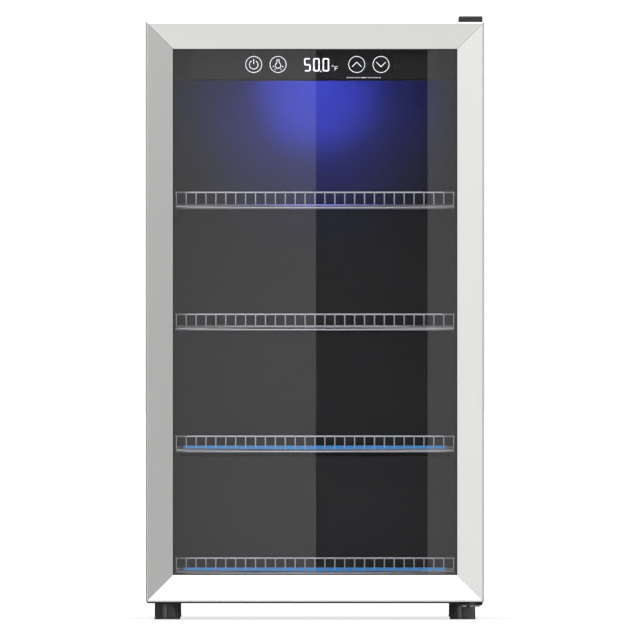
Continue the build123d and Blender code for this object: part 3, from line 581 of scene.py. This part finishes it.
chrome = grained("bright_chrome", (0.92, 0.92, 0.95), 0.16, 0.6, scale=300, depth=0.02, spread=0.06)
# The strips on the two upper shelves glow blue with an emission of their own: a painted glow standing in for
# the lamp's blue light through the translucent plastic. They are no lamp.
strip_blue_painted_glow = grained(
    "strip_blue_painted_glow", (0.02, 0.22, 0.6), 0.25, scale=300, depth=0.03,
    Emission_Color=(0.06, 0.3, 0.68, 1), Emission_Strength=0.6,
)
wires_across = 29
main_radius, rim_radius, cross_radius, upright_radius = 1.9 * mm, 1.25 * mm, 1.2 * mm, 0.97 * mm
cross_drop = 2.7 * mm
deck_drop = 0.8 * mm
for n in range(1, 5):
    fence_low, fence_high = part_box(f"shelf_fence_{n}")
    deck_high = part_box(f"shelf_deck_{n}")[1]
    half = fence_high.x
    level = fence_high.z - 19.85 * mm
    main_y = fence_low.y + main_radius
    upright_y = main_y + 2.55 * mm
    rim_y = upright_y + 1.9 * mm
    rim_z = level + 18.6 * mm
    back = deck_high.y
    parts = []
    end = half - main_radius
    curl = [
        (-end, main_y, level - cross_drop), (-end, main_y, level),
        (end, main_y, level), (end, main_y, level - cross_drop),
    ]
    parts.append(wire(rounded(curl, (2.5 * mm, 2.5 * mm)), main_radius, 14))
    parts.append(wire([(-half, rim_y, rim_z), (half, rim_y, rim_z)], rim_radius, 12))
    deck_z = level - deck_drop
    bent = [(0, upright_y, rim_z + 1.2 * mm), (0, upright_y, deck_z), (0, back, deck_z)]
    one_points, one_faces = wire(rounded(bent, (2.2 * mm,)), upright_radius, 8)
    for x in np.linspace(-half + 1.8 * mm, half - 1.8 * mm, wires_across):
        parts.append((one_points + (x, 0, 0), one_faces))
    cross_first = upright_y + 2.35 * mm
    cross_last = back - 8 * mm
    cross_z = level - cross_drop
    for y in np.linspace(cross_first, cross_last, 4):
        parts.append(wire([(-half, y, cross_z), (half, y, cross_z)], cross_radius, 12))
    stop_z = level + 1.8 * mm
    parts.append(wire([(-half, cross_last, stop_z), (half, cross_last, stop_z)], main_radius, 12))
    shelf = placed(f"shelf_wire_{n}", gathered(f"shelf_wire_{n}", parts), chrome, f"shelf_deck_{n}")
    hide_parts(f"shelf_fence_{n}")
    if n < 3:
        # strip with a painted blue glow from its emission, in place of the lamp's light
        eased(f"shelf_strip_{n}", strip_blue_painted_glow, 0.0006)

# ---- Door core and panes ----
# Black moulded frame members behind the steel, two sheets of clear float glass with ground
# edges, and the dark spacer that seals the gap between them.
moulded_frame = grained("moulded_frame", (0.014, 0.014, 0.015), 0.5, scale=1800, depth=0.2)
for node in ("frame_left", "frame_right", "frame_rails"):
    eased(node, moulded_frame, 0.0008)
float_glass = bpy.data.materials.new("float_glass")
float_glass.use_nodes = True
t = float_glass.node_tree
shader = t.nodes["Principled BSDF"]
shader.inputs["Base Color"].default_value = (0.955, 0.955, 0.965, 1)
shader.inputs["Roughness"].default_value = 0.0
shader.inputs["IOR"].default_value = 1.5
shader.inputs["Transmission Weight"].default_value = 1.0
clear = t.nodes.new("ShaderNodeBsdfTransparent")
shadow = t.nodes.new("ShaderNodeLightPath")
choice = t.nodes.new("ShaderNodeMixShader")
t.links.new(shadow.outputs["Is Shadow Ray"], choice.inputs[0])
t.links.new(shader.outputs[0], choice.inputs[1])
t.links.new(clear.outputs[0], choice.inputs[2])
t.links.new(choice.outputs[0], t.nodes["Material Output"].inputs["Surface"])
for node in ("front_glass", "rear_glass"):
    eased(node, float_glass, 0)


# ---- Spacer, bead and gasket ----
# Three rings round the glass. Each is an outline carried round the door's rectangle: the
# rubber bead presses on the pane, the gasket has bellows and a soft magnetic face.
def carried_round(name, outline):
    """Closed ring: an outline of (inset, depth) points goes round the door with square mitres."""
    low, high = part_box("trim_stiles")
    inset, depth = (np.array(outline, float) * mm).T
    corners = [
        (low.x + inset, low.z + inset), (high.x - inset, low.z + inset),
        (high.x - inset, high.z - inset), (low.x + inset, high.z - inset),
    ]
    rows = [np.column_stack([x, low.y + depth, z]) for x, z in corners]
    count = len(inset)
    i, j = np.meshgrid(np.arange(4), np.arange(count), indexing="ij")
    i_next, j_next = (i + 1) % 4, (j + 1) % count
    quads = np.stack(
        [i * count + j, i_next * count + j, i_next * count + j_next, i * count + j_next], axis=-1,
    )
    mesh = bpy.data.meshes.new(name)
    mesh.from_pydata(np.vstack(rows).tolist(), [], quads.reshape(-1, 4).tolist())
    form = bmesh.new()
    form.from_mesh(mesh)
    bmesh.ops.recalc_face_normals(form, faces=form.faces)
    form.to_mesh(mesh)
    form.free()
    mesh.shade_smooth()
    mesh.set_sharp_from_angle(angle=math.radians(50))
    return mesh


def closed_round(points, radius):
    """Closed outline with all its corners rounded."""
    p = np.array(points, float)
    loop = np.vstack([(p[-1] + p[0]) / 2, p, (p[-1] + p[0]) / 2])
    return rounded(loop, [radius] * len(p), 3)[:-1]


rubber = grained("black_rubber", (0.012, 0.012, 0.012), 0.6, scale=1500, depth=0.2)
spacer_dark = grained("spacer_dark", (0.03, 0.03, 0.032), 0.4, scale=800, depth=0.1)
pane_low, pane_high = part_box("front_glass")
rear_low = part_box("rear_glass")[0]
door_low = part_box("trim_stiles")[0]
pane_inset = (pane_low.x - door_low.x) / mm
gap_front = (pane_high.y - door_low.y) / mm
gap_back = (rear_low.y - door_low.y) / mm
spacer_outline = closed_round(
    [
        (pane_inset + 1, gap_front), (pane_inset + 9, gap_front),
        (pane_inset + 9, gap_back), (pane_inset + 1, gap_back),
    ],
    0.6,
)
placed("spacer_ring", carried_round("spacer_ring", spacer_outline), spacer_dark, "glass_spacer")
bead_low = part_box("glazing_bead")[0]
bead_front = (bead_low.y - door_low.y) / mm
bead_start = (bead_low.x - door_low.x) / mm
bead_end = 38.9
bead_back = bead_front + 1.3
bead_outline = closed_round(
    [
        (bead_start, bead_back), (bead_start, bead_front),
        (bead_end, bead_front + 0.1), (bead_end, bead_back),
    ],
    0.35,
)
placed("bead_ring", carried_round("bead_ring", bead_outline), rubber, "glazing_bead")
seal_low, seal_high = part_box("door_gasket")
lip_out = (seal_low.x - door_low.x) / mm
lip_in = lip_out + 13.0
root = 40.0
face = (seal_high.y - door_low.y) / mm
gasket_outline = closed_round(
    [
        (lip_out + 2.0, root), (lip_out + 0.9, root + 1.2), (lip_out + 2.2, root + 2.2),
        (lip_out + 0.6, root + 3.2), (lip_out, root + 4.4), (lip_out, face), (lip_in, face),
        (lip_in, root + 4.4), (lip_in - 0.6, root + 3.2), (lip_in - 2.2, root + 2.2),
        (lip_in - 0.9, root + 1.2), (lip_in - 2.0, root),
    ],
    0.35,
)
placed("gasket_ring", carried_round("gasket_ring", gasket_outline), rubber, "door_gasket")
magnet_strip = grained("magnet_strip", (0.03, 0.026, 0.026), 0.7, scale=900, depth=0.2)
eased("gasket_magnets", magnet_strip, 0)

# ---- Stainless trim ----
# Four folded channels, mitred at the corners, brushed along their length. The outline is a
# side wall, a bend, the sloping face and a short lip; the sheet is 0.8 mm thick.
brushed = bpy.data.node_groups.new("brushed_lines", "ShaderNodeTree")
for label, kind, value in (
    ("Color", "NodeSocketColor", (0.78, 0.78, 0.77, 1)),
    ("Roughness", "NodeSocketFloat", 0.3),
    ("Line Spread", "NodeSocketFloat", 0.1),
    ("Line Depth", "NodeSocketFloat", 0.1),
):
    brushed.interface.new_socket(label, in_out="INPUT", socket_type=kind).default_value = value
for label, kind in finish_sockets:
    brushed.interface.new_socket(label, in_out="OUTPUT", socket_type=kind)
b_in = brushed.nodes.new("NodeGroupInput")
b_out = brushed.nodes.new("NodeGroupOutput")
flat = brushed.nodes.new("ShaderNodeUVMap")
flat.uv_map = "grain"
drawn = brushed.nodes.new("ShaderNodeVectorMath")
drawn.operation = "MULTIPLY"
drawn.inputs[1].default_value = (14.0, 2600.0, 1.0)
lines = brushed.nodes.new("ShaderNodeTexNoise")
lines.inputs["Scale"].default_value = 1.0
lines.inputs["Detail"].default_value = 3.0
centred = brushed.nodes.new("ShaderNodeMath")
centred.operation = "SUBTRACT"
centred.inputs[1].default_value = 0.5
brushed.links.new(flat.outputs["UV"], drawn.inputs[0])
brushed.links.new(drawn.outputs[0], lines.inputs["Vector"])
brushed.links.new(lines.outputs["Fac"], centred.inputs[0])
line_tone = brushed.nodes.new("ShaderNodeMath")
line_tone.operation = "MULTIPLY_ADD"
line_tone.inputs[2].default_value = 1.0
brushed.links.new(centred.outputs[0], line_tone.inputs[0])
brushed.links.new(b_in.outputs["Line Spread"], line_tone.inputs[1])
line_paint = brushed.nodes.new("ShaderNodeVectorMath")
line_paint.operation = "SCALE"
brushed.links.new(b_in.outputs["Color"], line_paint.inputs[0])
brushed.links.new(line_tone.outputs[0], line_paint.inputs["Scale"])
brushed.links.new(line_paint.outputs[0], b_out.inputs["Color"])
line_rough = brushed.nodes.new("ShaderNodeMath")
line_rough.operation = "MULTIPLY"
brushed.links.new(line_tone.outputs[0], line_rough.inputs[0])
brushed.links.new(b_in.outputs["Roughness"], line_rough.inputs[1])
brushed.links.new(line_rough.outputs[0], b_out.inputs["Roughness"])
line_bump = brushed.nodes.new("ShaderNodeBump")
line_bump.inputs["Distance"].default_value = 0.00005
brushed.links.new(b_in.outputs["Line Depth"], line_bump.inputs["Strength"])
brushed.links.new(lines.outputs["Fac"], line_bump.inputs["Height"])
brushed.links.new(line_bump.outputs[0], b_out.inputs["Normal"])

stainless = bpy.data.materials.new("brushed_stainless")
stainless.use_nodes = True
t = stainless.node_tree
shader = t.nodes["Principled BSDF"]
shader.inputs["Metallic"].default_value = 1.0
effect = t.nodes.new("ShaderNodeGroup")
effect.node_tree = brushed
effect.inputs["Roughness"].default_value = 0.24
effect.inputs["Line Spread"].default_value = 0.12
effect.inputs["Line Depth"].default_value = 0.25
for label, socket in (("Color", "Base Color"), ("Roughness", "Roughness"), ("Normal", "Normal")):
    t.links.new(effect.outputs[label], shader.inputs[socket])


def guarded(outline, guard):
    """Adds a point that far from both ends of each long side, so that flat sides shade flat."""
    after = np.roll(outline, -1, axis=0)
    length = np.linalg.norm(after - outline, axis=1)[:, None]
    way = (after - outline) / np.maximum(length, 1e-9)
    trio = np.stack([outline, outline + way * guard, after - way * guard], axis=1)
    kept = np.column_stack([np.ones(len(outline), bool), np.repeat(length > 4 * guard, 2, axis=1)])
    return trio.reshape(-1, 2)[kept.ravel()]


def trim_outline():
    """Closed outline of the folded sheet as (inset, depth) points: out along the face and back
    inside, a sheet's thickness away."""
    face_width, fall, wall_depth, lip_depth = 37.5, 6.0, 16.0, 8.0
    bend_out, bend_in, sheet = 2.0, 0.9, 0.8
    tilt = math.atan2(fall, face_width)
    rise = bend_out * ((1 + math.sin(tilt)) / math.cos(tilt) - 1)
    face_end = face_width * math.tan(tilt) - rise
    outside = rounded(
        [(0, wall_depth), (0, -rise), (face_width, face_end), (face_width, lip_depth)],
        (bend_out, bend_in), 8,
    )
    drop = sheet / math.cos(tilt)
    inner_start = -rise + sheet * math.tan(tilt) + drop
    inner_end = face_end - sheet * math.tan(tilt) + drop
    inner_width = face_width - sheet
    inside = rounded(
        [(inner_width, lip_depth), (inner_width, inner_end), (sheet, inner_start), (sheet, wall_depth)],
        (bend_in - sheet, bend_out - sheet), 8,
    )
    return guarded(np.vstack([outside, inside]), 0.25)


def trim_member(side):
    """One channel: the outline runs along the door's edge, each point as far as its own inset."""
    low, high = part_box("trim_stiles")
    outline = trim_outline() * mm
    inset, depth = outline.T
    seam = 0.25 * mm
    upright = side in ("left", "right")
    span = (low.z, high.z) if upright else (low.x, high.x)
    start, end = span[0] + inset + seam, span[1] - inset - seam
    y = low.y + depth
    edges = {
        "left": low.x + inset, "right": high.x - inset,
        "bottom": low.z + inset, "top": high.z - inset,
    }
    edge = edges[side]
    rows = [np.column_stack([edge, y, w] if upright else [w, y, edge]) for w in (start, end)]
    travelled = np.concatenate([[0], np.cumsum(np.linalg.norm(np.diff(outline, axis=0), axis=1))])
    return np.vstack(rows), np.column_stack([np.concatenate([start, end]), np.tile(travelled, 2)])


def trim_piece(name, sides, node):
    """Two channels in one mesh, with a map that runs along the brushing."""
    points, faces, mapped = [], [], []
    count = 0
    for side in sides:
        rows, along = trim_member(side)
        n = len(rows) // 2
        j = np.arange(n)
        k = (j + 1) % n
        faces += (np.column_stack([j, k, n + k, n + j]) + count).tolist()
        faces.append((j + count).tolist())
        faces.append((j[::-1] + n + count).tolist())
        points.append(rows)
        mapped.append(along)
        count += len(rows)
    mesh = bpy.data.meshes.new(name)
    mesh.from_pydata(np.vstack(points).tolist(), [], faces)
    mapped = np.vstack(mapped)
    layer = mesh.uv_layers.new(name="grain")
    corners = np.empty(len(mesh.loops), int)
    mesh.loops.foreach_get("vertex_index", corners)
    layer.data.foreach_set("uv", mapped[corners].astype(np.float32).ravel())
    form = bmesh.new()
    form.from_mesh(mesh)
    bmesh.ops.recalc_face_normals(form, faces=form.faces)
    form.to_mesh(mesh)
    form.free()
    mesh.shade_smooth()
    mesh.set_sharp_from_angle(angle=math.radians(30))
    return placed(name, mesh, stainless, node)


trim_piece("trim_uprights", ("left", "right"), "trim_stiles")
trim_piece("trim_crossbars", ("top", "bottom"), "trim_rails")

# ---- Hinges ----
# Powder-coated plates with riveted pins, nylon bushes in the door, zinc screws, the moulded
# cap over the top plate, and three plugs in the spare holes on the other side.
gloss_black = grained("gloss_black", (0.02, 0.02, 0.021), 0.22, scale=400, depth=0.04)
nylon_grey = grained("nylon_grey", (0.2, 0.2, 0.2), 0.5, scale=1200, depth=0.08)
screw_zinc = grained("screw_zinc", (0.55, 0.55, 0.56), 0.3, 1.0, scale=700, depth=0.05)
eased("top_hinge_plate", powder_black, 0.0003)
eased("bottom_hinge_plate", powder_black, 0.0004)
eased("top_hinge_cover", gloss_black, 0.0003)
eased("hinge_pins", screw_zinc, 0.0003)
eased("hinge_screws", screw_zinc, 0.0002)
eased("hinge_hole_plugs", moulded_black, 0.0002)
eased("door_bushes", nylon_grey, 0.0003)


# ---- Feet ----
# Glossy black moulded pads, straight-sided above a slightly wider sole; the front pair turn
# on zinc studs that screw up into the base plate.
def lathed(name, outline, centres, steps=64):
    """Surface of revolution of (radius, height) points about upright axes at the centres."""
    profile = np.array(outline, float)
    turn = 2 * np.pi * np.arange(steps) / steps
    parts = []
    for x, y in centres:
        ring = np.stack(
            [
                x + profile[:, :1] * np.cos(turn), y + profile[:, :1] * np.sin(turn),
                np.repeat(profile[:, 1:], steps, axis=1),
            ],
            axis=-1,
        )
        i, j = np.meshgrid(np.arange(len(profile) - 1), np.arange(steps), indexing="ij")
        k = (j + 1) % steps
        quads = np.stack([i * steps + j, i * steps + k, (i + 1) * steps + k, (i + 1) * steps + j], axis=-1)
        parts.append((ring.reshape(-1, 3), quads.reshape(-1, 4)))
    mesh = gathered(name, parts)
    mesh.set_sharp_from_angle(angle=math.radians(40))
    return mesh


def foot_outline(top, bore):
    """Outline of a pad in metres: hollow sole, wider rim, straight side, crown and bore."""
    edge = rounded(
        [
            (0.0001, 0.4), (15.6, 0.4), (16.2, 0.0), (17.4, 0.0), (18.0, 0.6), (18.0, 2.4), (17.7, 2.9),
            (17.7, top - 0.3), (17.4, top), (bore, top), (bore, 4.0), (0.0001, 4.0),
        ],
        (0.1, 0.15, 0.2, 0.25, 0.25, 0.2, 0.2, 0.1, 0.1, 0.1), 4,
    )
    return edge * mm


foot_black = grained(
    "foot_black", (0.009, 0.009, 0.0095), 0.14, scale=500, depth=0.03, Specular_IOR_Level=1.0,
)
for side in ("left", "right"):
    pad_low, pad_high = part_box(f"foot_pad_{side}")
    centre = ((pad_low.x + pad_high.x) / 2, (pad_low.y + pad_high.y) / 2)
    outline = foot_outline(pad_high.z / mm, 4.05)
    placed(f"foot_{side}_pad", lathed(f"foot_{side}_pad", outline, [centre]), foot_black, f"foot_pad_{side}")
    eased(f"foot_stud_{side}", screw_zinc, 0.0003)
feet_low, feet_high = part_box("rear_feet")
radius = (feet_high.y - feet_low.y) / 2
centres = [(x, feet_low.y + radius) for x in (feet_low.x + radius, feet_high.x - radius)]
rear_outline = foot_outline(feet_high.z / mm, 1.0)
placed("rear_foot_pads", lathed("rear_foot_pads", rear_outline, centres), foot_black, "rear_feet")

# ---- Compressor ----
# Two-part welded steel shell on a saddle with four rubber mounts and bolts, a moulded relay
# cover on its side and the drip tray that its heat dries out on top.
shell_black = grained("shell_black", (0.015, 0.015, 0.016), 0.25, scale=250, depth=0.06)
eased("compressor", shell_black, 0.0006)
eased("compressor_mounts", rubber, 0.0004)
eased("compressor_bolts", screw_zinc, 0.0003)
eased("relay_cover", moulded_black, 0.001)
eased("drip_tray", moulded_black, 0.0004)

# ---- Condenser ----
# Black-painted steel tube to and fro on the back with upright wires welded to both sides of
# it, zinc brackets and screws; copper pipes and the filter drier lead back to the compressor.
condenser_black = grained("condenser_black", (0.014, 0.014, 0.015), 0.38, scale=900, depth=0.15)
eased("condenser_tube", condenser_black, 0)
eased("condenser_wires", condenser_black, 0)
eased("condenser_brackets", galvanised, 0.0003)
eased("rear_screws", screw_zinc, 0.0002)
eased("condenser_pipes", copper, 0)
eased("filter_drier", copper, 0.0003)
eased("cord_gland", moulded_black, 0.0003)
